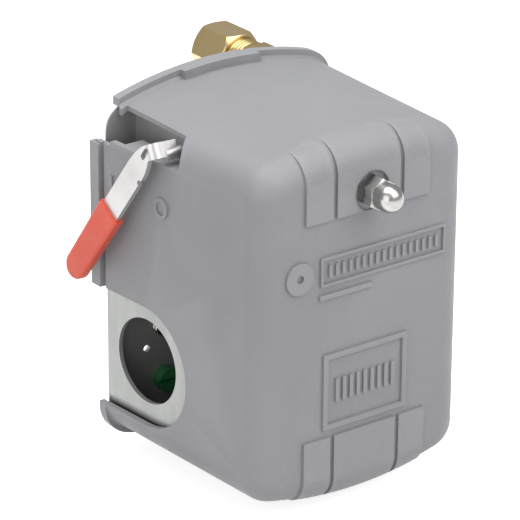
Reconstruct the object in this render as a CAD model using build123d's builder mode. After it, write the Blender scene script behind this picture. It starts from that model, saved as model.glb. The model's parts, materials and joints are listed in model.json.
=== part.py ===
"""Air-compressor pressure switch with an AUTO-OFF lever and a release valve.

Frame: millimetres, +Z up, +Y towards the pressure port. The origin is the centre of the port's mouth.
The cover's closed face looks along -Y and the lever is on the -X side.
"""

from build123d import *
import math
import os

os.makedirs("parts", exist_ok=True)

# Cover: a moulded box, bowed on top and underneath, with a little draft
COVER_FRONT = -81.0
COVER_REAR = -21.7
COVER_WALL = 1.6
FRONT_HALF_WIDTH = 30.9
FRONT_HALF_HEIGHT = 46.3
REAR_HALF_WIDTH = 34.9
REAR_HALF_HEIGHT = 46.75
COVER_CENTRE_Z = 0.5
BOW_RADIUS = 105.0
FRONT_CORNER = 8.0
REAR_CORNER = 8.9
FRONT_ROUNDING = 7.2
RIM_REAR = -19.2
RIM_THICKNESS = 2.6
RIM_RISE = 2.2
RIM_TAB_THICKNESS = 4.4
FLARE = 0.7
RIM_TAB_HALF_WIDTH = 11.5
PAD_RISE = 0.7
PAD_INNER = 9.3
PAD_GROOVE = 1.2
PAD_OUTER = 18.4
PAD_LOW = 28.9
PAD_BACK = -73.0

# Bracket: plated steel, a back plate with a conduit flange on each side
PLATE_BACK = -20.0
PLATE_THICKNESS = 1.1
PLATE_FRONT = PLATE_BACK - PLATE_THICKNESS
PLATE_HALF_WIDTH = 33.1
PLATE_HALF_HEIGHT = 46.6
FLANGE_BOTTOM = -36.9
FLANGE_THICKNESS = 1.1
FLANGE_FRONT = -58.5
FLANGE_TOP = -2.0
FLANGE_BEND = 4.5
FLANGE_LIP = 4.0
FLANGE_LEAN = 3.9
CONDUIT_RADIUS = 11.1
CONDUIT_Y = -36.15
CONDUIT_Z = -18.4

# Openings in the cover's sides
SLOT_RADIUS = 15.9
SLOT_Y = -37.4
SLOT_Z = -18.85
NOTCH_X = -28.1
NOTCH_RIM_X = -29.7
NOTCH_EDGE_Z = 42.2
NOTCH_Y = -51.0
NOTCH_Z = 36.2

# Studs and the main beam
RANGE_X = 1.0
RANGE_Z = 33.6
RANGE_STUD_RADIUS = 3.0
RANGE_TIP_RADIUS = 2.2
DIFFERENTIAL_Z = 18.0
DIFFERENTIAL_STUD_RADIUS = 2.0
RUNNING_CLEARANCE = 0.06
BEAM_BACK = -32.0
BEAM_THICKNESS = 1.6
BEAM_FRONT = BEAM_BACK - BEAM_THICKNESS
BEAM_HALF_WIDTH = 10.6
HINGE_Y = -30.2
HINGE_Z = -12.0
HINGE_PIN_RADIUS = 1.5

# Pressure side
DIAPHRAGM_THICKNESS = 1.2
HOUSING_FRONT = PLATE_BACK + DIAPHRAGM_THICKNESS
HOUSING_HALF = 22.0
HOUSING_SCREW = 18.0
PUSHER_RADIUS = 9.0
PORT_RADIUS = 5.6
PORT_DEPTH = 12.0

# Contact block
BLOCK_HALF_WIDTH = 20.0
BLOCK_REAR = -57.5
BLOCK_FRONT = -70.0
BLOCK_TOP = 0.0
BLOCK_BOTTOM = -40.0
POLE_X = 11.0
SCREW_ROWS = (-35.5, -6.5)
RIVET_ROWS = (-30.0, -12.0)
RIVET_RADIUS = 1.5
CARRIER_Z = -21.0
GUIDE_RADIUS = 2.5

# Lever
PIVOT_Y = -45.6
PIVOT_Z = 38.9
LEVER_THICKNESS = 1.3
BLADE_WIDTH = 6.2
BLADE_TURN = 34.3
BLADE_LEAN = 5.0
BLADE_END = 38.2
BLADE_X = -37.0
BLADE_Y = -43.5
BLADE_Z = 38.9
TONGUE_WIDTH = 3.8
TONGUE_BEND = 1.55
TONGUE_REACH = 5.4
GRIP_START = 21.35
GRIP_LENGTH = 25.0
GRIP_THICKNESS = 3.1
SHAFT_RADIUS = 1.5
SHAFT_LEFT = -33.2

# Release valve, beside the port
VALVE_X = 16.25
VALVE_Z = 41.95
TUBE_NUT_HEX = 12.7
VALVE_BODY_HEX = 11.1
VALVE_BODY_REAR = -14.5
VALVE_HEX_FRONT = -18.8
VALVE_THREAD_RADIUS = 5.5
VALVE_THREAD_REAR = -2.5
TUBE_NUT_FRONT = -9.0
TUBE_NUT_REAR = 3.8
TUBE_RADIUS = 3.2
STEM_RADIUS = 1.4


def at_y(y):
    """The plane across the port's axis at y, seen from the front."""
    return Plane.XZ.offset(-y)


def rod_y(x, z, back, front, radius, mode=Mode.ADD):
    """A round bar along Y, from back forward to front."""
    with BuildSketch(at_y(back)) as section:
        with Locations((x, z)):
            Circle(radius)
    extrude(section.sketch, amount=back - front, mode=mode)


def hex_y(x, z, back, front, across_flats, mode=Mode.ADD, turn=0):
    """A hexagonal bar along Y with flats above and below when turn is 0."""
    with BuildSketch(at_y(back)) as section:
        with Locations((x, z)):
            RegularPolygon(across_flats / 2, 6, major_radius=False, rotation=turn)
    extrude(section.sketch, amount=back - front, mode=mode)


def rod_x(y, z, left, right, radius, mode=Mode.ADD):
    """A round bar along X, from left to right."""
    with BuildSketch(Plane.YZ.offset(left)) as section:
        with Locations((y, z)):
            Circle(radius)
    extrude(section.sketch, amount=right - left, mode=mode)


def block(low, high, mode=Mode.ADD):
    """A box between two corners."""
    middle = [(a + b) / 2 for a, b in zip(low, high)]
    size = [b - a for a, b in zip(low, high)]
    with Locations(tuple(middle)):
        Box(*size, mode=mode)


def outline(half_width, half_height, corner, plane):
    """The cover's section: straight sides, with a top and a bottom bowed to BOW_RADIUS."""
    drop = BOW_RADIUS - math.sqrt(BOW_RADIUS**2 - half_width**2)
    high = COVER_CENTRE_Z + half_height
    low = COVER_CENTRE_Z - half_height
    with BuildSketch(plane) as section:
        with BuildLine():
            ThreePointArc((-half_width, high - drop), (0, high), (half_width, high - drop))
            Line((half_width, high - drop), (half_width, low + drop))
            ThreePointArc((half_width, low + drop), (0, low), (-half_width, low + drop))
            Line((-half_width, low + drop), (-half_width, high - drop))
        make_face()
        fillet(section.vertices(), corner)
    return section.sketch


def cover_form(grow):
    """The cover's solid shape, grown outwards by a distance."""
    rear = outline(
        REAR_HALF_WIDTH + grow, REAR_HALF_HEIGHT + grow, REAR_CORNER + grow, at_y(COVER_REAR)
    )
    front = outline(
        FRONT_HALF_WIDTH + grow,
        FRONT_HALF_HEIGHT + grow,
        FRONT_CORNER + grow,
        at_y(COVER_FRONT - grow),
    )
    with BuildPart() as form:
        loft([rear.face(), front.face()])
        fillet(form.faces().sort_by(Axis.Y)[0].edges(), FRONT_ROUNDING + grow)
    return form.part


def spring(x, z, wire_radius, mean_radius, back, front, turns):
    """A compression spring along Y whose wire stays between back and front."""
    height = back - front - 2 * wire_radius
    with BuildPart() as coil:
        with BuildLine() as path:
            Helix(
                pitch=height / turns,
                height=height,
                radius=mean_radius,
                center=(x, back - wire_radius, z),
                direction=(0, -1, 0),
            )
        with BuildSketch(Plane(origin=path.line @ 0, z_dir=path.line % 0)):
            Circle(wire_radius)
        sweep(is_frenet=True)
    return coil.part


def finish(part, name):
    """Labels a piece and writes it."""
    part.label = name
    export_step(part, f"parts/{name}.step")


# ---------------------------------------------------------------- cover
cover_shell = cover_form(0.0)
cover_cavity = cover_form(-COVER_WALL)
pad_form = Pos(0, -PAD_RISE, 0) * cover_shell

pad_spans = (
    (-PAD_OUTER, -PAD_INNER - PAD_GROOVE),
    (-PAD_INNER, PAD_INNER),
    (PAD_INNER + PAD_GROOVE, PAD_OUTER),
)
with BuildPart() as pad_slabs:
    for low_x, high_x in pad_spans:
        for low_z, high_z in ((PAD_LOW, 52.0), (-52.0, -PAD_LOW + 1.6)):
            block((low_x, COVER_FRONT - 3, low_z), (high_x, PAD_BACK, high_z))

with BuildPart() as pads:
    add(pad_form)
    add(pad_slabs.part, mode=Mode.INTERSECT)
    add(cover_cavity, mode=Mode.SUBTRACT)

rim_outer = outline(REAR_HALF_WIDTH, REAR_HALF_HEIGHT + RIM_RISE, 9.0, at_y(RIM_REAR))
rim_inner = outline(PLATE_HALF_WIDTH + 0.35, PLATE_HALF_HEIGHT + 0.35, 7.0, at_y(RIM_REAR))
rim_ring = rim_outer - rim_inner
# The flare that carries the rim out from the shell
RIM_FRONT = RIM_REAR - RIM_THICKNESS
flare_rear = outline(REAR_HALF_WIDTH, REAR_HALF_HEIGHT + FLARE, 9.0, at_y(RIM_FRONT))
flare_front = outline(REAR_HALF_WIDTH - FLARE, REAR_HALF_HEIGHT, 8.3, at_y(RIM_FRONT - FLARE))
with BuildPart() as flare:
    loft([flare_rear.face(), flare_front.face()])
    add(cover_cavity, mode=Mode.SUBTRACT)

# The rim is thicker behind the middle of the top and the bottom
tab_outline = outline(REAR_HALF_WIDTH, REAR_HALF_HEIGHT + RIM_RISE, 9.0, at_y(RIM_FRONT))
with BuildPart() as rim_tabs:
    extrude(tab_outline, amount=RIM_TAB_THICKNESS - RIM_THICKNESS)
    block((-RIM_TAB_HALF_WIDTH, -30, -60), (RIM_TAB_HALF_WIDTH, -10, 60), mode=Mode.INTERSECT)
    add(cover_cavity, mode=Mode.SUBTRACT)
NAMEPLATE_RISE = 0.6
SLOT_REAR = -10.0
NOTCH_STEP = -23.0
CLIP_LOW = -4.5
CLIP_HIGH = 34.6

with BuildPart() as cover:
    add(cover_shell)
    add(cover_cavity, mode=Mode.SUBTRACT)
    add(pads.part)
    add(flare.part)
    add(rim_tabs.part)
    # Rim around the open back
    extrude(rim_ring, amount=RIM_THICKNESS)
    # Clip bars at the rear of both sides, with a groove in front of each
    for side in (-1, 1):
        inner, outer = sorted((side * 33.6, side * 35.7))
        block((inner, -21.4, CLIP_LOW), (outer, -17.7, CLIP_HIGH))
        inner, outer = sorted((side * 34.2, side * 36.5))
        block((inner, -22.6, CLIP_LOW), (outer, -21.4, NOTCH_Z), mode=Mode.SUBTRACT)
    # Slots over the two conduit holes, open to the rear, with a bevelled edge
    with BuildSketch(Plane.YZ.offset(-45)) as slot_section:
        with Locations((SLOT_Y, SLOT_Z)):
            Circle(SLOT_RADIUS)
        with Locations(((SLOT_Y + SLOT_REAR) / 2, SLOT_Z)):
            Rectangle(SLOT_REAR - SLOT_Y, 2 * SLOT_RADIUS)
    extrude(slot_section.sketch, amount=90, mode=Mode.SUBTRACT)
    # Notch for the lever at the upper left rear corner
    with BuildSketch(Plane.YZ.offset(-45)) as notch_section:
        with BuildLine():
            Line((NOTCH_STEP, 60), (-46.8, 60))
            Line((-46.8, 60), (-46.8, 43.5))
            ThreePointArc((-46.8, 43.5), (-50.0, 40.4), (NOTCH_Y, NOTCH_Z))
            Line((NOTCH_Y, NOTCH_Z), (-25.0, NOTCH_Z))
            Line((-25.0, NOTCH_Z), (-25.0, NOTCH_Z - 1.2))
            Line((-25.0, NOTCH_Z - 1.2), (NOTCH_STEP, NOTCH_Z - 1.2))
            Line((NOTCH_STEP, NOTCH_Z - 1.2), (NOTCH_STEP, 60))
        make_face()
    extrude(notch_section.sketch, amount=45 + NOTCH_X, mode=Mode.SUBTRACT)
    block((-45, NOTCH_STEP, NOTCH_Z - 1.2), (NOTCH_RIM_X, -10, 60), mode=Mode.SUBTRACT)
    # The top panel thins to an edge along the notch
    block((-30, -46.8, 39), (-24.8, NOTCH_STEP, NOTCH_EDGE_Z), mode=Mode.SUBTRACT)
    # Shelf along the notch's lower edge
    block((-32.9, -50.0, NOTCH_Z - 1.6), (-27.6, -28.7, NOTCH_Z))
    # Stud hole and the recess that the cover nut sits in
    rod_y(RANGE_X, RANGE_Z, COVER_FRONT + 4, COVER_FRONT - 4, 2.8, mode=Mode.SUBTRACT)
    rod_y(RANGE_X, RANGE_Z, COVER_FRONT + 0.4, COVER_FRONT - 4, 5.1, mode=Mode.SUBTRACT)
    # Blank nameplate frames on the front
    with BuildSketch(at_y(COVER_FRONT + 0.3)) as plates:
        with Locations((0, -15.4)):
            Rectangle(25.3, 19.7)
            Rectangle(22.5, 17.0, mode=Mode.SUBTRACT)
        with Locations((5.0, 16.0)):
            Rectangle(37.6, 7.4)
            Rectangle(36.2, 6.0, mode=Mode.SUBTRACT)
        with Locations((-19.9, 16.0)):
            Circle(4.0)
            Circle(1.0, mode=Mode.SUBTRACT)
        with Locations((0, -15.4)):
            with GridLocations(2.1, 1, 9, 1):
                Rectangle(1.0, 6.0)
        with Locations((5.0, 16.0)):
            with GridLocations(2.0, 1, 17, 1):
                Rectangle(0.8, 3.0)
        with Locations((-6.2, 9.6)):
            Rectangle(15.7, 1.2)
    extrude(plates.sketch, amount=NAMEPLATE_RISE + 0.3)
    # Position marks for the lever on the left side: a ring for off, a bar for running
    with BuildSketch(Plane.YZ.offset(-32.9)) as off_mark:
        with Locations((-44.6, 25.0)):
            Circle(2.6)
            Circle(1.7, mode=Mode.SUBTRACT)
    extrude(off_mark.sketch, amount=-0.95)
    with BuildSketch(Plane.YZ.offset(-34.0)) as run_mark:
        with Locations((-25.6, 25.0)):
            Rectangle(1.0, 5.4)
    extrude(run_mark.sketch, amount=-1.1)
finish(cover.part, "cover")

# ---------------------------------------------------------------- cover nut
NUT_SEAT = COVER_FRONT + 0.4
NUT_HEX_FRONT = -85.8
DOME_RADIUS = 3.4
DOME_CENTRE = -88.0
with BuildPart() as cover_nut:
    hex_y(RANGE_X, RANGE_Z, NUT_SEAT, NUT_HEX_FRONT, 7.2, turn=30)
    with BuildSketch(Plane.YZ.offset(RANGE_X)) as nut_limit:
        with BuildLine():
            Polyline(
                (NUT_SEAT, RANGE_Z),
                (NUT_SEAT, RANGE_Z + 3.9),
                (NUT_SEAT - 0.4, RANGE_Z + 4.3),
                (NUT_HEX_FRONT + 0.6, RANGE_Z + 4.3),
                (NUT_HEX_FRONT, RANGE_Z + 3.6),
                (NUT_HEX_FRONT, RANGE_Z),
                close=True,
            )
        make_face()
    revolve(
        nut_limit.sketch, axis=Axis((RANGE_X, 0, RANGE_Z), (0, 1, 0)), mode=Mode.INTERSECT
    )
    rod_y(RANGE_X, RANGE_Z, NUT_HEX_FRONT + 0.5, DOME_CENTRE, DOME_RADIUS)
    with Locations((RANGE_X, DOME_CENTRE, RANGE_Z)):
        Sphere(DOME_RADIUS)
    rod_y(RANGE_X, RANGE_Z, NUT_SEAT, -87.8, RANGE_TIP_RADIUS + RUNNING_CLEARANCE, mode=Mode.SUBTRACT)
finish(cover_nut.part, "cover_nut")

# ---------------------------------------------------------------- bracket
lean = math.radians(FLANGE_LEAN)
flange_out = Vector(math.cos(lean), -math.sin(lean), 0)
flange_forward = Vector(-math.sin(lean), -math.cos(lean), 0)
flange_reach = (PLATE_FRONT - FLANGE_FRONT) / math.cos(lean)
hole_x = PLATE_HALF_WIDTH - (PLATE_FRONT - CONDUIT_Y) * math.tan(lean)
with BuildPart() as flange:
    flange_plane = Plane(origin=(PLATE_HALF_WIDTH, PLATE_FRONT, 0), x_dir=flange_out, z_dir=flange_forward)
    turn = FLANGE_BEND * (1 - math.sqrt(0.5))
    inner_bend = FLANGE_BEND - FLANGE_THICKNESS
    inner_turn = inner_bend * (1 - math.sqrt(0.5)) + FLANGE_THICKNESS
    low = FLANGE_BOTTOM
    lip = -FLANGE_BEND - FLANGE_LIP
    with BuildSketch(flange_plane.offset(-1.5)) as flange_section:
        with BuildLine():
            Line((0, FLANGE_TOP), (0, low + FLANGE_BEND))
            ThreePointArc((0, low + FLANGE_BEND), (-turn, low + turn), (-FLANGE_BEND, low))
            Line((-FLANGE_BEND, low), (lip, low))
            Line((lip, low), (lip, low + FLANGE_THICKNESS))
            Line((lip, low + FLANGE_THICKNESS), (-FLANGE_BEND, low + FLANGE_THICKNESS))
            ThreePointArc(
                (-FLANGE_BEND, low + FLANGE_THICKNESS),
                (-inner_turn, low + inner_turn),
                (-FLANGE_THICKNESS, low + FLANGE_BEND),
            )
            Line((-FLANGE_THICKNESS, low + FLANGE_BEND), (-FLANGE_THICKNESS, FLANGE_TOP))
            Line((-FLANGE_THICKNESS, FLANGE_TOP), (0, FLANGE_TOP))
        make_face()
    extrude(flange_section.sketch, amount=flange_reach + 1.5)
    block((0, PLATE_FRONT, -60), (60, 0, 60), mode=Mode.SUBTRACT)
    # Conduit hole, square to the flange
    hole_centre = Vector(hole_x, CONDUIT_Y, CONDUIT_Z)
    with BuildSketch(Plane(origin=hole_centre + flange_out, z_dir=flange_out)) as hole_section:
        Circle(CONDUIT_RADIUS)
    extrude(hole_section.sketch, amount=-4, mode=Mode.SUBTRACT)

plate_outline = outline(PLATE_HALF_WIDTH, PLATE_HALF_HEIGHT, 6.7, at_y(PLATE_BACK))
left_flange = mirror(flange.part, about=Plane.YZ)
with BuildPart() as bracket:
    extrude(plate_outline, amount=PLATE_THICKNESS)
    add(flange.part)
    add(left_flange)
    side_edges = [e for e in bracket.edges().filter_by(Axis.Z) if abs(e.center().X) > PLATE_HALF_WIDTH - 0.1]
    fillet([e for e in side_edges if abs(e.center().Y - PLATE_BACK) < 0.01], 0.9)
    for x in (-21.8, 21.8):
        rod_y(x, -23.4, PLATE_BACK, PLATE_FRONT, 0.9, mode=Mode.SUBTRACT)
    # Holes in the back plate
    rod_y(0, 0, PLATE_BACK, PLATE_FRONT, PUSHER_RADIUS + 0.4, mode=Mode.SUBTRACT)
    rod_y(RANGE_X, RANGE_Z, PLATE_BACK, PLATE_FRONT, 2.4, mode=Mode.SUBTRACT)
    rod_y(0, DIFFERENTIAL_Z, PLATE_BACK, PLATE_FRONT, 1.5, mode=Mode.SUBTRACT)
    rod_y(VALVE_X, VALVE_Z, PLATE_BACK, PLATE_FRONT, STEM_RADIUS + 0.3, mode=Mode.SUBTRACT)
    for x in (-HOUSING_SCREW, HOUSING_SCREW):
        for z in (-HOUSING_SCREW, HOUSING_SCREW):
            rod_y(x, z, PLATE_BACK, PLATE_FRONT, 2.0, mode=Mode.SUBTRACT)
finish(bracket.part, "bracket")

# ---------------------------------------------------------------- pressure side
screw_places = [(x, z) for x in (-HOUSING_SCREW, HOUSING_SCREW) for z in (-HOUSING_SCREW, HOUSING_SCREW)]


def square_plate(back, front, corner):
    """The square shape shared by the diaphragm and the housing's flange."""
    with BuildSketch(at_y(back)) as section:
        RectangleRounded(2 * HOUSING_HALF, 2 * HOUSING_HALF, corner)
    extrude(section.sketch, amount=back - front)


with BuildPart() as diaphragm:
    square_plate(HOUSING_FRONT, PLATE_BACK, 5.0)
    for x, z in screw_places:
        rod_y(x, z, HOUSING_FRONT, PLATE_BACK, 2.0, mode=Mode.SUBTRACT)
finish(diaphragm.part, "diaphragm")

HOUSING_FLANGE_REAR = -15.3
HOUSING_BODY_REAR = -10.0
with BuildPart() as housing:
    square_plate(HOUSING_FLANGE_REAR, HOUSING_FRONT, 5.0)
    rod_y(0, 0, HOUSING_BODY_REAR, HOUSING_FLANGE_REAR, 15.5)
    fillet(housing.faces().filter_by(Axis.Y).sort_by(Axis.Y)[-1].edges(), 2.0)
    hex_y(0, 0, 0, HOUSING_BODY_REAR, 22.0)
    rod_y(0, 0, -13.8, HOUSING_FRONT, 12.5, mode=Mode.SUBTRACT)
    rod_y(0, 0, 0, -PORT_DEPTH, PORT_RADIUS, mode=Mode.SUBTRACT)
    rod_y(0, 0, -PORT_DEPTH, -14.0, 2.5, mode=Mode.SUBTRACT)
    for x, z in screw_places:
        rod_y(x, z, HOUSING_FLANGE_REAR, HOUSING_FRONT, 2.0, mode=Mode.SUBTRACT)
finish(housing.part, "diaphragm_housing")

with BuildPart() as housing_screws:
    for x, z in screw_places:
        rod_y(x, z, HOUSING_FLANGE_REAR, -23.4, 2.0)
        rod_y(x, z, HOUSING_FLANGE_REAR + 2.6, HOUSING_FLANGE_REAR, 3.4)
        with Locations((x, HOUSING_FLANGE_REAR + 2.2, z)):
            Box(5.0, 1.2, 0.9, mode=Mode.SUBTRACT)
            Box(0.9, 1.2, 5.0, mode=Mode.SUBTRACT)
finish(housing_screws.part, "housing_screws")

with BuildPart() as pusher:
    rod_y(0, 0, PLATE_BACK - 0.05, -22.6, PUSHER_RADIUS)
    rod_y(0, 0, -22.6, BEAM_BACK + 0.1, 4.0)
    fillet(pusher.edges().sort_by(Axis.Y)[0], 3.0)
finish(pusher.part, "pusher")

# ---------------------------------------------------------------- beam and its hinge
EAR_INNER = 11.4
EAR_THICKNESS = 1.5
with BuildPart() as hinge_bracket:
    block((-EAR_INNER - EAR_THICKNESS, PLATE_FRONT - 1.5, -21.0), (EAR_INNER + EAR_THICKNESS, PLATE_FRONT, -9.7))
    for side in (-1, 1):
        low_x, high_x = sorted((side * EAR_INNER, side * (EAR_INNER + EAR_THICKNESS)))
        block((low_x, -33.6, -16.5), (high_x, PLATE_FRONT, -8.5))
    rod_x(HINGE_Y, HINGE_Z, -20, 20, HINGE_PIN_RADIUS, mode=Mode.SUBTRACT)
finish(hinge_bracket.part, "hinge_bracket")

with BuildPart() as hinge_pin:
    rod_x(HINGE_Y, HINGE_Z, -14.2, 14.2, HINGE_PIN_RADIUS)
    for left in (-14.9, 13.9):
        rod_x(HINGE_Y, HINGE_Z, left, left + 1.0, 2.3)
finish(hinge_pin.part, "hinge_pin")

with BuildPart() as main_beam:
    block((-BEAM_HALF_WIDTH, BEAM_FRONT, -8.0), (BEAM_HALF_WIDTH, BEAM_BACK, 41.0))
    block((-4.0, BEAM_FRONT, -26.0), (4.0, BEAM_BACK, -8.0))
    block((BEAM_HALF_WIDTH - 1, BEAM_FRONT, 37.8), (19.0, BEAM_BACK, 41.8))
    for side in (-1, 1):
        low_x, high_x = sorted((side * (BEAM_HALF_WIDTH - 1.5), side * BEAM_HALF_WIDTH))
        block((low_x, BEAM_FRONT, -15.5), (high_x, -27.0, -6.5))
        block((low_x, -38.0, -6.5), (high_x, BEAM_FRONT, 36.0))
    rod_x(HINGE_Y, HINGE_Z, -12, 12, HINGE_PIN_RADIUS + RUNNING_CLEARANCE, mode=Mode.SUBTRACT)
    rod_y(RANGE_X, RANGE_Z, BEAM_BACK, BEAM_FRONT, 4.4, mode=Mode.SUBTRACT)
    rod_y(0, DIFFERENTIAL_Z, BEAM_BACK, BEAM_FRONT, 3.2, mode=Mode.SUBTRACT)
finish(main_beam.part, "main_beam")

# ---------------------------------------------------------------- range and differential studs
with BuildPart() as range_stud:
    rod_y(RANGE_X, RANGE_Z, PLATE_BACK, PLATE_FRONT, 2.4)
    hex_y(RANGE_X, RANGE_Z, PLATE_FRONT, PLATE_FRONT - 3.0, 9.0)
    rod_y(RANGE_X, RANGE_Z, PLATE_FRONT - 3.0, -70.0, RANGE_STUD_RADIUS)
    rod_y(RANGE_X, RANGE_Z, -70.0, -87.6, RANGE_TIP_RADIUS)
    chamfer(range_stud.edges().sort_by(Axis.Y)[0], 0.5)
finish(range_stud.part, "range_stud")

RANGE_SPRING_BACK = BEAM_FRONT - 1.4
RANGE_SPRING_FRONT = -58.0
with BuildPart() as range_seat:
    rod_y(RANGE_X, RANGE_Z, BEAM_FRONT, RANGE_SPRING_BACK, 8.0)
    rod_y(RANGE_X, RANGE_Z, BEAM_FRONT, RANGE_SPRING_BACK, 4.4, mode=Mode.SUBTRACT)
finish(range_seat.part, "range_spring_seat")

range_coil = spring(RANGE_X, RANGE_Z, 1.0, 6.3, RANGE_SPRING_BACK, RANGE_SPRING_FRONT, 6.5)
finish(range_coil, "range_spring")

with BuildPart() as range_retainer:
    rod_y(RANGE_X, RANGE_Z, RANGE_SPRING_FRONT, RANGE_SPRING_FRONT - 1.4, 8.0)
    rod_y(RANGE_X, RANGE_Z, RANGE_SPRING_FRONT, RANGE_SPRING_FRONT - 1.4, 3.06, mode=Mode.SUBTRACT)
finish(range_retainer.part, "range_spring_retainer")

with BuildPart() as range_nut:
    hex_y(RANGE_X, RANGE_Z, -59.4, -65.0, 12.7)
    rod_y(RANGE_X, RANGE_Z, -59.4, -65.0, RANGE_STUD_RADIUS + RUNNING_CLEARANCE, mode=Mode.SUBTRACT)
finish(range_nut.part, "range_nut")

with BuildPart() as differential_stud:
    rod_y(0, DIFFERENTIAL_Z, PLATE_BACK, PLATE_FRONT, 1.5)
    hex_y(0, DIFFERENTIAL_Z, PLATE_FRONT, PLATE_FRONT - 2.5, 6.0)
    rod_y(0, DIFFERENTIAL_Z, PLATE_FRONT - 2.5, -56.0, DIFFERENTIAL_STUD_RADIUS)
    chamfer(differential_stud.edges().sort_by(Axis.Y)[0], 0.4)
finish(differential_stud.part, "differential_stud")

DIFFERENTIAL_SPRING_FRONT = -49.0
differential_coil = spring(0, DIFFERENTIAL_Z, 0.6, 4.0, BEAM_FRONT, DIFFERENTIAL_SPRING_FRONT, 7)
finish(differential_coil, "differential_spring")

with BuildPart() as differential_nut:
    hex_y(0, DIFFERENTIAL_Z, DIFFERENTIAL_SPRING_FRONT, -53.0, 9.5)
    rod_y(0, DIFFERENTIAL_Z, -48, -54, DIFFERENTIAL_STUD_RADIUS + RUNNING_CLEARANCE, mode=Mode.SUBTRACT)
finish(differential_nut.part, "differential_nut")

# ---------------------------------------------------------------- contacts
SCREW_SHANK = 1.9
with BuildPart() as contact_block:
    block((-BLOCK_HALF_WIDTH, BLOCK_FRONT, BLOCK_BOTTOM), (BLOCK_HALF_WIDTH, BLOCK_REAR, BLOCK_TOP))
    for low_x, high_x in ((-1.0, 1.0), (-BLOCK_HALF_WIDTH, -17.6), (17.6, BLOCK_HALF_WIDTH)):
        block((low_x, -74.5, BLOCK_BOTTOM), (high_x, BLOCK_FRONT, BLOCK_TOP))
    fillet(contact_block.edges().filter_by(Axis.Y), 0.8)
    for x in (-POLE_X, POLE_X):
        for z in SCREW_ROWS:
            rod_y(x, z, -63.5, BLOCK_FRONT, SCREW_SHANK, mode=Mode.SUBTRACT)
        for z in RIVET_ROWS:
            rod_y(x, z, BLOCK_REAR, BLOCK_FRONT, RIVET_RADIUS, mode=Mode.SUBTRACT)
    rod_x(-62.0, -2.8, -25, 25, 1.2, mode=Mode.SUBTRACT)
    rod_y(0, CARRIER_Z, BLOCK_REAR, -66.0, GUIDE_RADIUS + RUNNING_CLEARANCE, mode=Mode.SUBTRACT)
finish(contact_block.part, "contact_block")

with BuildPart() as fixed_contacts:
    for x in (-POLE_X, POLE_X):
        for z in RIVET_ROWS:
            rod_y(x, z, BLOCK_REAR, BLOCK_FRONT, RIVET_RADIUS)
            rod_y(x, z, BLOCK_REAR + 0.9, BLOCK_REAR, 2.4)
finish(fixed_contacts.part, "fixed_contacts")

TERMINAL_FRONT = BLOCK_FRONT - 0.8
with BuildPart() as terminal_plates:
    for x in (-POLE_X, POLE_X):
        for low_z, high_z, screw_z in ((-39.4, -27.0, SCREW_ROWS[0]), (-15.0, -2.6, SCREW_ROWS[1])):
            block((x - 4.5, TERMINAL_FRONT, low_z), (x + 4.5, BLOCK_FRONT, high_z))
            rod_y(x, screw_z, BLOCK_FRONT, TERMINAL_FRONT, SCREW_SHANK, mode=Mode.SUBTRACT)
finish(terminal_plates.part, "terminal_plates")

CLAMP_FRONT = TERMINAL_FRONT - 1.2
with BuildPart() as terminal_clamps:
    for x in (-POLE_X, POLE_X):
        for z in SCREW_ROWS:
            block((x - 4.2, CLAMP_FRONT, z - 3.6), (x + 4.2, TERMINAL_FRONT, z + 3.6))
            rod_y(x, z, TERMINAL_FRONT, CLAMP_FRONT, SCREW_SHANK, mode=Mode.SUBTRACT)
finish(terminal_clamps.part, "terminal_clamps")

with BuildPart() as terminal_screws:
    for x in (-POLE_X, POLE_X):
        for z in SCREW_ROWS:
            rod_y(x, z, -63.5, CLAMP_FRONT, SCREW_SHANK)
            rod_y(x, z, CLAMP_FRONT, CLAMP_FRONT - 2.4, 3.4)
            block((x - 4, CLAMP_FRONT - 3, z - 0.5), (x + 4, CLAMP_FRONT - 1.2, z + 0.5), mode=Mode.SUBTRACT)
finish(terminal_screws.part, "terminal_screws")

LEG_THICKNESS = 1.4
with BuildPart() as block_legs:
    for side in (-1, 1):
        low_x, high_x = sorted((side * BLOCK_HALF_WIDTH, side * (BLOCK_HALF_WIDTH + LEG_THICKNESS)))
        block((low_x, -67.0, -6.0), (high_x, PLATE_FRONT, 3.0))
        foot_low, foot_high = sorted((side * (BLOCK_HALF_WIDTH + LEG_THICKNESS), side * 28.0))
        block((foot_low, PLATE_FRONT - LEG_THICKNESS, -6.0), (foot_high, PLATE_FRONT, 3.0))
    rod_x(-62.0, -2.8, -25, 25, 1.2, mode=Mode.SUBTRACT)
finish(block_legs.part, "block_legs")

with BuildPart() as block_screws:
    leg_face = BLOCK_HALF_WIDTH + LEG_THICKNESS
    for side in (-1, 1):
        left, right = sorted((side * 14.0, side * leg_face))
        rod_x(-62.0, -2.8, left, right, 1.2)
        left, right = sorted((side * leg_face, side * (leg_face + 1.8)))
        rod_x(-62.0, -2.8, left, right, 2.5)
finish(block_screws.part, "block_screws")

with BuildPart() as contact_carrier:
    block((-14.0, -54.3, CARRIER_Z - 4), (14.0, -50.5, CARRIER_Z + 4))
    fillet(contact_carrier.edges().filter_by(Axis.Y), 0.7)
    rod_y(0, CARRIER_Z, -54.3, -63.0, GUIDE_RADIUS)
    rod_y(0, CARRIER_Z, BEAM_FRONT - 0.1, -50.5, 3.2)
    fillet(contact_carrier.edges().sort_by(Axis.Y)[-1], 2.6)
finish(contact_carrier.part, "contact_carrier")

with BuildPart() as contact_bars:
    for x in (-POLE_X, POLE_X):
        block((x - 2.5, -55.5, -33.0), (x + 2.5, -54.3, -9.0))
        for z in RIVET_ROWS:
            rod_y(x, z, -55.5, -56.4, 2.0)
finish(contact_bars.part, "contact_bars")

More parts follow.
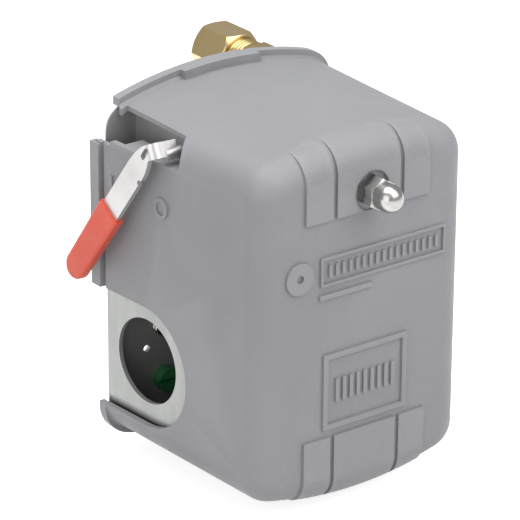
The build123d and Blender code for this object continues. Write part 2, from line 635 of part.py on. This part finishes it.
# ---------------------------------------------------------------- ground screws
with BuildPart() as ground_screws:
    for x in (-16.7, 16.7):
        rod_y(x, -32.4, PLATE_FRONT, PLATE_FRONT - 3.0, 3.2)
        block((x - 4, PLATE_FRONT - 4, -32.9), (x + 4, PLATE_FRONT - 1.8, -31.9), mode=Mode.SUBTRACT)
finish(ground_screws.part, "ground_screws")

# ---------------------------------------------------------------- lever
turn = math.radians(BLADE_TURN)
lean = math.radians(BLADE_LEAN)
along = Vector(-math.sin(lean), math.cos(lean) * math.sin(turn), -math.cos(lean) * math.cos(turn))
across = Vector(0, -math.cos(turn), -math.sin(turn))
outward = along.cross(across)
blade_plane = Plane(origin=(BLADE_X, BLADE_Y, BLADE_Z), x_dir=along, z_dir=outward)
half = LEVER_THICKNESS / 2

# The head narrows to a tongue that turns square into the notch
TONGUE_ROOT = (-1.31, 0.21)
tongue_turn = math.radians(151.6)
tongue_way = along * math.cos(tongue_turn) + across * math.sin(tongue_turn)
tongue_root = blade_plane.from_local_coords(Vector(*TONGUE_ROOT, 0))
tongue_plane = Plane(origin=tongue_root, x_dir=tongue_way, z_dir=tongue_way.cross(-outward))
inner = TONGUE_BEND - half
outer = TONGUE_BEND + half
tongue_end = TONGUE_BEND + TONGUE_REACH

with BuildPart() as lever:
    with BuildSketch(blade_plane.offset(-half)) as blade_section:
        with BuildLine():
            Line((BLADE_END, BLADE_WIDTH / 2), (BLADE_END, -BLADE_WIDTH / 2))
            Line((BLADE_END, -BLADE_WIDTH / 2), (6.0, -BLADE_WIDTH / 2))
            Spline((6.0, -BLADE_WIDTH / 2), (3.6, -2.95), (0.1, -2.35), (-1.51, -1.84), (-2.21, -1.46))
            Line((-2.21, -1.46), (-0.41, 1.88))
            Spline((-0.41, 1.88), (0.6, 2.2), (1.72, 2.62), (3.0, 2.95), (6.0, BLADE_WIDTH / 2))
            Line((6.0, BLADE_WIDTH / 2), (BLADE_END, BLADE_WIDTH / 2))
        make_face()
        with Locations((6.6, BLADE_WIDTH / 2)):
            Circle(0.8, mode=Mode.SUBTRACT)
    extrude(amount=LEVER_THICKNESS)
    with BuildSketch(tongue_plane) as tongue_section:
        with BuildLine():
            Line((-0.6, -half), (0, -half))
            ThreePointArc(
                (0, -half),
                (outer * math.sqrt(0.5), TONGUE_BEND - outer * math.sqrt(0.5)),
                (outer, TONGUE_BEND),
            )
            Line((outer, TONGUE_BEND), (outer, tongue_end))
            Line((outer, tongue_end), (inner, tongue_end))
            Line((inner, tongue_end), (inner, TONGUE_BEND))
            ThreePointArc(
                (inner, TONGUE_BEND),
                (inner * math.sqrt(0.5), TONGUE_BEND - inner * math.sqrt(0.5)),
                (0, half),
            )
            Line((0, half), (-0.6, half))
            Line((-0.6, half), (-0.6, -half))
        make_face()
    extrude(amount=TONGUE_WIDTH / 2, both=True)
    with BuildSketch(blade_plane.offset(-half - 1)) as tongue_slot:
        with Locations((-0.6, -0.15)):
            SlotOverall(3.5, 1.5)
    extrude(tongue_slot.sketch, amount=LEVER_THICKNESS + 2, mode=Mode.SUBTRACT)
    rod_x(PIVOT_Y, PIVOT_Z, SHAFT_LEFT, -28.0, SHAFT_RADIUS, mode=Mode.SUBTRACT)
finish(lever.part, "lever")

with BuildPart() as lever_grip:
    with BuildSketch(blade_plane.offset(-GRIP_THICKNESS / 2)):
        with BuildLine():
            tip = GRIP_START + GRIP_LENGTH
            Line((GRIP_START, -3.9), (tip - 3.4, -3.5))
            ThreePointArc((tip - 3.4, -3.5), (tip, 0), (tip - 3.4, 3.5))
            Line((tip - 3.4, 3.5), (GRIP_START, 3.9))
            Line((GRIP_START, 3.9), (GRIP_START, -3.9))
        make_face()
    extrude(amount=GRIP_THICKNESS)
    fillet(lever_grip.edges().filter_by(GeomType.LINE).group_by(SortBy.LENGTH)[-1], 0.9)
    add(lever.part, mode=Mode.SUBTRACT)
finish(lever_grip.part, "lever_grip")

LEVER_BRACKET_X = -24.4
with BuildPart() as lever_bracket:
    block((LEVER_BRACKET_X, -49.0, 31.0), (LEVER_BRACKET_X + 1.5, PLATE_FRONT, 41.2))
    block((LEVER_BRACKET_X, PLATE_FRONT - 1.5, 31.0), (-16.5, PLATE_FRONT, 39.5))
    rod_x(PIVOT_Y, PIVOT_Z, -30, -10, SHAFT_RADIUS + RUNNING_CLEARANCE, mode=Mode.SUBTRACT)
finish(lever_bracket.part, "lever_bracket")

with BuildPart() as lever_shaft:
    rod_x(PIVOT_Y, PIVOT_Z, SHAFT_LEFT, -18.6, SHAFT_RADIUS)
finish(lever_shaft.part, "lever_shaft")

with BuildPart() as lever_cam:
    rod_x(PIVOT_Y, PIVOT_Z, -22.6, -19.6, 3.0)
    with BuildSketch(Plane.YZ.offset(-22.6)) as lobe:
        with BuildLine():
            Polyline(
                (PIVOT_Y - 2.9, PIVOT_Z),
                (PIVOT_Y + 2.9, PIVOT_Z),
                (PIVOT_Y + 2.0, PIVOT_Z - 8.0),
                (PIVOT_Y - 2.0, PIVOT_Z - 8.0),
                close=True,
            )
        make_face()
    extrude(lobe.sketch, amount=3.0)
    rod_x(PIVOT_Y, PIVOT_Z, -30, -10, SHAFT_RADIUS, mode=Mode.SUBTRACT)
finish(lever_cam.part, "lever_cam")

with BuildPart() as shaft_clip:
    rod_x(PIVOT_Y, PIVOT_Z, -19.6, -18.9, 3.1)
    rod_x(PIVOT_Y, PIVOT_Z, -30, -10, SHAFT_RADIUS, mode=Mode.SUBTRACT)
    block((-25, PIVOT_Y - 6, PIVOT_Z - 0.8), (-10, PIVOT_Y - 1, PIVOT_Z + 0.8), mode=Mode.SUBTRACT)
finish(shaft_clip.part, "shaft_clip")

# ---------------------------------------------------------------- release valve
with BuildPart() as valve_body:
    rod_y(VALVE_X, VALVE_Z, VALVE_HEX_FRONT, PLATE_BACK, 3.7)
    hex_y(VALVE_X, VALVE_Z, VALVE_BODY_REAR, VALVE_HEX_FRONT, VALVE_BODY_HEX)
    rod_y(VALVE_X, VALVE_Z, VALVE_THREAD_REAR, VALVE_BODY_REAR, VALVE_THREAD_RADIUS)
    chamfer(valve_body.edges().sort_by(Axis.Y)[-1], 0.6)
    rod_y(VALVE_X, VALVE_Z, VALVE_THREAD_REAR, -8.5, TUBE_RADIUS, mode=Mode.SUBTRACT)
    rod_y(VALVE_X, VALVE_Z, -8.5, PLATE_BACK, STEM_RADIUS + RUNNING_CLEARANCE, mode=Mode.SUBTRACT)
    rod_y(VALVE_X, VALVE_Z, -13.8, -19.1, 2.6, mode=Mode.SUBTRACT)
finish(valve_body.part, "valve_body")

with BuildPart() as valve_stem:
    rod_y(VALVE_X, VALVE_Z, -13.0, BEAM_BACK + 0.1, STEM_RADIUS)
    chamfer(valve_stem.edges().sort_by(Axis.Y)[0], 0.8)
    rod_y(VALVE_X, VALVE_Z, -14.1, -14.9, 2.3)
finish(valve_stem.part, "valve_stem")

with BuildPart() as tube_ferrule:
    rod_y(VALVE_X, VALVE_Z, -0.9, VALVE_THREAD_REAR, 4.4)
    rod_y(VALVE_X, VALVE_Z, -0.9, VALVE_THREAD_REAR, TUBE_RADIUS, mode=Mode.SUBTRACT)
finish(tube_ferrule.part, "tube_ferrule")

with BuildPart() as tube_nut:
    hex_y(VALVE_X, VALVE_Z, TUBE_NUT_REAR, TUBE_NUT_FRONT, TUBE_NUT_HEX)
    with BuildSketch(Plane.YZ.offset(VALVE_X)) as tube_nut_limit:
        with BuildLine():
            Polyline(
                (TUBE_NUT_FRONT, VALVE_Z),
                (TUBE_NUT_FRONT, VALVE_Z + 6.1),
                (TUBE_NUT_FRONT + 1.4, VALVE_Z + 7.5),
                (TUBE_NUT_REAR - 1.6, VALVE_Z + 7.5),
                (TUBE_NUT_REAR, VALVE_Z + 5.7),
                (TUBE_NUT_REAR, VALVE_Z),
                close=True,
            )
        make_face()
    revolve(
        tube_nut_limit.sketch,
        axis=Axis((VALVE_X, 0, VALVE_Z), (0, 1, 0)),
        mode=Mode.INTERSECT,
    )
    rod_y(
        VALVE_X, VALVE_Z, -0.8, TUBE_NUT_FRONT,
        VALVE_THREAD_RADIUS + RUNNING_CLEARANCE, mode=Mode.SUBTRACT,
    )
    rod_y(VALVE_X, VALVE_Z, TUBE_NUT_REAR, -1.0, TUBE_RADIUS, mode=Mode.SUBTRACT)
finish(tube_nut.part, "tube_nut")
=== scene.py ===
"""Looks for the air-compressor pressure switch: materials, small details, camera and lights."""

import json
import math

import bmesh
import bpy
from mathutils import Matrix, Vector


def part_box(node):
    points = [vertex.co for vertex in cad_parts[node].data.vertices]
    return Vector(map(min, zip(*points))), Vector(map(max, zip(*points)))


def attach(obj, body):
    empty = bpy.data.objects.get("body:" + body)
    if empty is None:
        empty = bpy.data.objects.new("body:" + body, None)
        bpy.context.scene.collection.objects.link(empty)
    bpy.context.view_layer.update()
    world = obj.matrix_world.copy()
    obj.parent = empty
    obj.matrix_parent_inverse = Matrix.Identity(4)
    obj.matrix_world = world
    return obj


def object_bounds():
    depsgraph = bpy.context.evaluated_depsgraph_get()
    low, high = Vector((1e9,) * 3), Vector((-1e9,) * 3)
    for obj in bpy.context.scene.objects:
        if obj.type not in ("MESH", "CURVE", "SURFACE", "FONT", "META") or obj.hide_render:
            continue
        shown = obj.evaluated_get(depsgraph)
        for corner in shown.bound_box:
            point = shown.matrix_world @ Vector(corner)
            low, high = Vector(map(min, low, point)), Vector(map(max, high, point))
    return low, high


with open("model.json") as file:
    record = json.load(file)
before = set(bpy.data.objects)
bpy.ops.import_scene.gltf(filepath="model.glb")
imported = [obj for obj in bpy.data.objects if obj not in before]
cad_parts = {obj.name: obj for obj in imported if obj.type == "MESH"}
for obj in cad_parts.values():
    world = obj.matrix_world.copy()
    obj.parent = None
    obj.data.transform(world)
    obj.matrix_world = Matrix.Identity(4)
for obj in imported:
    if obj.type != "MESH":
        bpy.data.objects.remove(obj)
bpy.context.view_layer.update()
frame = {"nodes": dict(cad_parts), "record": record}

scene = bpy.context.scene
nodes = frame["nodes"]


# ---------------------------------------------------------------- node helpers
class Tree:
    """A material's node tree, with short calls for the nodes used here."""

    def __init__(self, name):
        self.material = bpy.data.materials.new(name)
        self.material.use_nodes = True
        self.tree = self.material.node_tree
        self.shader = self.tree.nodes["Principled BSDF"]
        self.place = self.node("ShaderNodeTexCoord").outputs["Object"]

    def node(self, kind, **settings):
        made = self.tree.nodes.new(kind)
        for key, value in settings.items():
            setattr(made, key, value)
        return made

    def link(self, source, target):
        self.tree.links.new(source, target)

    def put(self, socket, value):
        if isinstance(value, bpy.types.NodeSocket):
            self.link(value, socket)
        else:
            socket.default_value = value

    def stretch(self, scale):
        made = self.node("ShaderNodeMapping")
        self.link(self.place, made.inputs["Vector"])
        made.inputs["Scale"].default_value = scale
        return made.outputs["Vector"]

    def noise(self, scale, detail=4.0, rough=0.55, vector=None):
        made = self.node("ShaderNodeTexNoise")
        self.link(vector or self.place, made.inputs["Vector"])
        made.inputs["Scale"].default_value = scale
        made.inputs["Detail"].default_value = detail
        made.inputs["Roughness"].default_value = rough
        return made.outputs["Fac"]

    def cells(self, scale):
        made = self.node("ShaderNodeTexVoronoi")
        self.link(self.place, made.inputs["Vector"])
        made.inputs["Scale"].default_value = scale
        return made.outputs["Distance"]

    def span(self, value, low, high, to_low=0.0, to_high=1.0):
        made = self.node("ShaderNodeMapRange")
        self.put(made.inputs["Value"], value)
        made.inputs["From Min"].default_value = low
        made.inputs["From Max"].default_value = high
        made.inputs["To Min"].default_value = to_low
        made.inputs["To Max"].default_value = to_high
        return made.outputs["Result"]

    def math(self, operation, a, b=0.0):
        made = self.node("ShaderNodeMath", operation=operation)
        self.put(made.inputs[0], a)
        self.put(made.inputs[1], b)
        return made.outputs[0]

    def blend(self, amount, a, b, mode="MIX"):
        made = self.node("ShaderNodeMix", data_type="RGBA", blend_type=mode)
        self.put(made.inputs["Factor"], amount)
        self.put(made.inputs["A"], a)
        self.put(made.inputs["B"], b)
        return made.outputs["Result"]

    def axis(self, letter):
        made = self.node("ShaderNodeSeparateXYZ")
        self.link(self.place, made.inputs["Vector"])
        return made.outputs[letter]

    def edges(self, low=0.505, high=0.56):
        """Where the surface is convex; used to paint highlights along edges."""
        made = self.node("ShaderNodeNewGeometry")
        return self.span(made.outputs["Pointiness"], low, high)

    def bump(self, height, distance, strength=1.0, under=None):
        made = self.node("ShaderNodeBump")
        made.inputs["Distance"].default_value = distance
        made.inputs["Strength"].default_value = strength
        self.link(height, made.inputs["Height"])
        if under:
            self.link(under, made.inputs["Normal"])
        return made.outputs["Normal"]

    def finish(self, colour, roughness, normal=None, **fixed):
        self.put(self.shader.inputs["Base Color"], colour)
        self.put(self.shader.inputs["Roughness"], roughness)
        if normal:
            self.link(normal, self.shader.inputs["Normal"])
        for key, value in fixed.items():
            self.shader.inputs[key.replace("_", " ")].default_value = value
        return self.material


def rgba(r, g, b):
    return (r, g, b, 1.0)


def lighter(colour, factor):
    return rgba(*(min(1, c * factor) for c in colour[:3]))


# ---------------------------------------------------------------- materials
def moulded(name, light, dark, rough=0.48):
    """Moulded plastic: fine spark texture, faint flow clouds, small specks and a painted highlight along
    convex edges.
    """
    t = Tree(name)
    clouds = t.noise(28.0, 3.0, 0.5)
    specks = t.noise(2600.0, 2.0, 0.6)
    colour = t.blend(t.span(clouds, 0.35, 0.65), dark, light)
    shade = t.span(specks, 0.3, 0.7, 0.94, 1.04)
    tone = t.node("ShaderNodeCombineColor")
    for channel in ("Red", "Green", "Blue"):
        t.link(shade, tone.inputs[channel])
    colour = t.blend(1.0, colour, tone.outputs["Color"], "MULTIPLY")
    # painted highlight: a lighter plastic colour along convex edges
    colour = t.blend(t.math("MULTIPLY", t.edges(), 0.22), colour, lighter(light, 1.35))
    fine = t.noise(5200.0, 2.0, 0.5)
    waves = t.noise(60.0, 2.0, 0.4)
    normal = t.bump(fine, 0.00003, 0.6)
    normal = t.bump(waves, 0.00012, 0.35, normal)
    roughness = t.span(t.noise(90.0, 4.0), 0.3, 0.7, rough - 0.05, rough + 0.06)
    return t.finish(colour, roughness, normal, Specular_IOR_Level=0.42)


def metal(name, light, dark, rough, lines, depth=0.00001, edge_highlight=None, thread=None, metallic=1.0):
    """Metal with drawn lines along the smallest of 'lines', mottling and a painted highlight along convex
    edges.
    """
    t = Tree(name)
    drawn = t.noise(1.0, 3.0, 0.6, t.stretch(lines))
    mottle = t.noise(70.0, 5.0, 0.6)
    mixed = t.math("ADD", t.math("MULTIPLY", drawn, 0.5), t.math("MULTIPLY", mottle, 0.5))
    colour = t.blend(t.span(mixed, 0.36, 0.62), dark, light)
    # painted highlight: a brighter metal colour along convex edges
    colour = t.blend(t.math("MULTIPLY", t.edges(), 0.5), colour, edge_highlight or light)
    roughness = t.span(mixed, 0.35, 0.65, rough + 0.07, rough - 0.06)
    normal = t.bump(drawn, depth, 0.5)
    pits = t.span(t.cells(900.0), 0.0, 0.25)
    normal = t.bump(pits, 0.00001, 0.3, normal)
    if thread:
        ridge = t.math("PINGPONG", t.math("DIVIDE", t.axis("Y"), thread / 2), 1.0)
        normal = t.bump(ridge, 0.0004, 1.0, normal)
    return t.finish(colour, roughness, normal, Metallic=metallic)


def soft(name, light, dark, rough, coat=0.0):
    """Dipped vinyl or rubber: soft lumps, a faint skin texture, slight colour drift and a painted
    highlight along convex edges.
    """
    t = Tree(name)
    drift = t.noise(90.0, 3.0, 0.5)
    colour = t.blend(t.span(drift, 0.3, 0.7), dark, light)
    # painted highlight: a lighter colour along convex edges
    colour = t.blend(t.math("MULTIPLY", t.edges(), 0.3), colour, lighter(light, 1.2))
    normal = t.bump(t.noise(240.0, 3.0, 0.5), 0.0002, 0.5)
    normal = t.bump(t.noise(3500.0, 2.0, 0.5), 0.00002, 0.5, normal)
    roughness = t.span(t.noise(160.0, 4.0), 0.3, 0.7, rough - 0.07, rough + 0.07)
    return t.finish(colour, roughness, normal, Coat_Weight=coat, Coat_Roughness=0.3)


materials = {
    "grey_plastic": moulded("grey_plastic", rgba(0.271, 0.272, 0.286), rgba(0.253, 0.254, 0.268)),
    "plated_nut": metal(
        "plated_nut", rgba(0.56, 0.55, 0.53), rgba(0.36, 0.355, 0.345), 0.24, (40, 300, 300)
    ),
    "zinc_steel": metal(
        "zinc_steel", rgba(0.43, 0.44, 0.43), rgba(0.31, 0.32, 0.31), 0.44, (300, 300, 30), metallic=0.5
    ),
    "bright_steel": metal(
        "bright_steel", rgba(0.62, 0.61, 0.605), rgba(0.48, 0.47, 0.465), 0.36, (900, 60, 60),
        metallic=0.8,
    ),
    "screw_steel": metal(
        "screw_steel", rgba(0.60, 0.60, 0.56), rgba(0.42, 0.42, 0.39), 0.30, (300, 60, 300),
        thread=0.0010,
    ),
    "spring_steel": metal(
        "spring_steel", rgba(0.30, 0.31, 0.32), rgba(0.16, 0.165, 0.17), 0.34, (300, 60, 300)
    ),
    "cast_housing": metal(
        "cast_housing", rgba(0.46, 0.47, 0.48), rgba(0.34, 0.345, 0.35), 0.48, (400, 400, 400),
        depth=0.00004,
    ),
    "contact_metal": metal(
        "contact_metal", rgba(0.62, 0.36, 0.20), rgba(0.46, 0.26, 0.14), 0.32, (60, 300, 300)
    ),
    "brass": metal(
        "brass", rgba(0.70, 0.53, 0.25), rgba(0.50, 0.35, 0.14), 0.27, (60, 900, 60),
        # colour of the brass's painted edge highlight, a paler brass
        edge_highlight=rgba(0.85, 0.68, 0.38),
    ),
    "black_plastic": moulded("black_plastic", rgba(0.035, 0.035, 0.034), rgba(0.022, 0.022, 0.022), 0.45),
    "black_rubber": soft("black_rubber", rgba(0.030, 0.030, 0.030), rgba(0.018, 0.018, 0.018), 0.62),
    "red_vinyl": soft("red_vinyl", rgba(0.66, 0.082, 0.042), rgba(0.55, 0.060, 0.030), 0.44, coat=0.10),
    "green_screw": soft(
        "green_screw", rgba(0.030, 0.20, 0.070), rgba(0.020, 0.13, 0.045), 0.35, coat=0.3
    ),
}

slot_of = {part["node"]: part["material_slot"] for part in frame["record"]["subparts"]}
for name, obj in nodes.items():
    material = materials[slot_of[name]]
    if not obj.material_slots:
        obj.data.materials.append(material)
    for place in obj.material_slots:
        place.material = material


# ---------------------------------------------------------------- thread on the release valve
def threaded_rod(name, centre, start, end, low, high, pitch):
    """A helical ridge on a rod along Y, from radius low to radius high, between start and end."""
    around = 64
    steps = int((end - start) / pitch * 12)
    mesh = bmesh.new()
    rows = []
    for i in range(steps + 1):
        y = start + (end - start) * i / steps
        row = []
        for k in range(around):
            angle = 2 * math.pi * k / around
            phase = ((y - start) / pitch + k / around) % 1.0
            rise = 1 - abs(2 * phase - 1)
            fade = min(1.0, (y - start) / pitch, (end - y) / pitch)
            radius = low + (high - low) * rise * max(0.0, fade)
            x = centre[0] + radius * math.cos(angle)
            z = centre[1] + radius * math.sin(angle)
            row.append(mesh.verts.new((x, y, z)))
        rows.append(row)
    for a, b in zip(rows, rows[1:]):
        for k in range(around):
            mesh.faces.new((a[k], a[(k + 1) % around], b[(k + 1) % around], b[k]))
    bmesh.ops.recalc_face_normals(mesh, faces=mesh.faces)
    data = bpy.data.meshes.new(name)
    mesh.to_mesh(data)
    mesh.free()
    obj = bpy.data.objects.new(name, data)
    scene.collection.objects.link(obj)
    for face in data.polygons:
        face.use_smooth = True
    return obj


# ---------------------------------------------------------------- camera
LENS = 228.57
DEPTH = 0.7716
AZIMUTH = math.radians(36.788)
ELEVATION = math.radians(23.085)
ROLL = math.radians(0.331)
AIM = Vector((-0.03315, -0.0810, -0.01135))
OFFSET = Vector((-0.001666, -0.03272, -DEPTH))

right = Vector((math.cos(AZIMUTH), -math.sin(AZIMUTH), 0))
back = Vector(
    (
        -math.sin(AZIMUTH) * math.cos(ELEVATION),
        -math.cos(AZIMUTH) * math.cos(ELEVATION),
        math.sin(ELEVATION),
    )
)
up = back.cross(right)
turned_right = math.cos(ROLL) * right + math.sin(ROLL) * up
turned_up = -math.sin(ROLL) * right + math.cos(ROLL) * up
axes = Matrix((turned_right, turned_up, back)).transposed()

camera = bpy.data.objects.new("camera", bpy.data.cameras.new("camera"))
scene.collection.objects.link(camera)
camera.data.lens = LENS
camera.data.sensor_width = 36
camera.data.clip_start = 0.01
camera.data.clip_end = 50
camera.matrix_world = Matrix.Translation(AIM - axes @ OFFSET) @ axes.to_4x4()
scene.camera = camera


# ---------------------------------------------------------------- floor, world and lights
FLOOR_SIZE = 12
FLOOR_GAP = 0.0005
FLOOR_GLOW = 0.80
AMBIENT = 0.45

low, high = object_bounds()
bpy.ops.mesh.primitive_plane_add(size=FLOOR_SIZE, location=(0, 0, low[2] - FLOOR_GAP))
floor = bpy.context.object
floor.name = "floor"
f = Tree("floor")
diffuse = f.node("ShaderNodeBsdfDiffuse")
grain = f.noise(40.0, 3.0)
tone = f.blend(f.span(grain, 0.3, 0.7), rgba(0.60, 0.60, 0.60), rgba(0.63, 0.63, 0.63))
f.link(tone, diffuse.inputs["Color"])
glow = f.node("ShaderNodeEmission")
glow.inputs["Color"].default_value = rgba(1, 1, 1)
glow.inputs["Strength"].default_value = FLOOR_GLOW
path = f.node("ShaderNodeLightPath")
seen = f.math("MAXIMUM", path.outputs["Is Camera Ray"], path.outputs["Is Glossy Ray"])
total = f.node("ShaderNodeAddShader")
f.link(diffuse.outputs[0], total.inputs[0])
f.link(glow.outputs[0], total.inputs[1])
choice = f.node("ShaderNodeMixShader")
f.link(seen, choice.inputs["Fac"])
f.link(diffuse.outputs[0], choice.inputs[1])
f.link(total.outputs[0], choice.inputs[2])
f.link(choice.outputs[0], f.tree.nodes["Material Output"].inputs["Surface"])
floor.data.materials.append(f.material)

world = bpy.data.worlds.new("world")
scene.world = world
world.use_nodes = True
w = world.node_tree
ambient = w.nodes["Background"]
ambient.inputs["Color"].default_value = rgba(1, 1, 1)
ambient.inputs["Strength"].default_value = AMBIENT
white = w.nodes.new("ShaderNodeBackground")
white.inputs["Color"].default_value = rgba(1, 1, 1)
white.inputs["Strength"].default_value = 1.0
rays = w.nodes.new("ShaderNodeLightPath")
either = w.nodes.new("ShaderNodeMath")
either.operation = "MAXIMUM"
w.links.new(rays.outputs["Is Camera Ray"], either.inputs[0])
w.links.new(rays.outputs["Is Transmission Ray"], either.inputs[1])
pick = w.nodes.new("ShaderNodeMixShader")
w.links.new(either.outputs[0], pick.inputs["Fac"])
w.links.new(ambient.outputs[0], pick.inputs[1])
w.links.new(white.outputs[0], pick.inputs[2])
w.links.new(pick.outputs[0], w.nodes["World Output"].inputs["Surface"])

middle = Vector([(a + b) / 2 for a, b in zip(low, high)])


def lamp(name, direction, distance, size_m, power):
    """A soft square light that faces the object."""
    data = bpy.data.lights.new(name, "AREA")
    data.shape = "SQUARE"
    data.size = size_m
    data.energy = power
    obj = bpy.data.objects.new(name, data)
    scene.collection.objects.link(obj)
    obj.location = middle + Vector(direction).normalized() * distance
    obj.rotation_euler = (middle - obj.location).to_track_quat("-Z", "Y").to_euler()
    return obj


lamp("key", (0.35, -0.9, 1.1), 1.0, 0.9, 6.6)
lamp("fill", (-1.2, -0.5, 0.5), 1.0, 0.8, 3.0)
lamp("overhead", (-0.1, 0.2, 1.2), 0.9, 0.8, 6.4)

# ---------------------------------------------------------------- pieces on the frame
THREAD_START = 0.00555
THREAD_GAP = 0.00005
THREAD_ROOT = 0.00535
THREAD_CREST = 0.0058
THREAD_PITCH = 0.0011

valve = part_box("valve_body")
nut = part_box("tube_nut")
valve_centre = ((nut[0][0] + nut[1][0]) / 2, (nut[0][2] + nut[1][2]) / 2)
thread = threaded_rod(
    "valve_thread",
    valve_centre,
    valve[0][1] + THREAD_START,
    nut[0][1] - THREAD_GAP,
    THREAD_ROOT,
    THREAD_CREST,
    THREAD_PITCH,
)
thread.data.materials.append(materials["brass"])
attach(thread, "frame")

scene.view_settings.view_transform = "Standard"
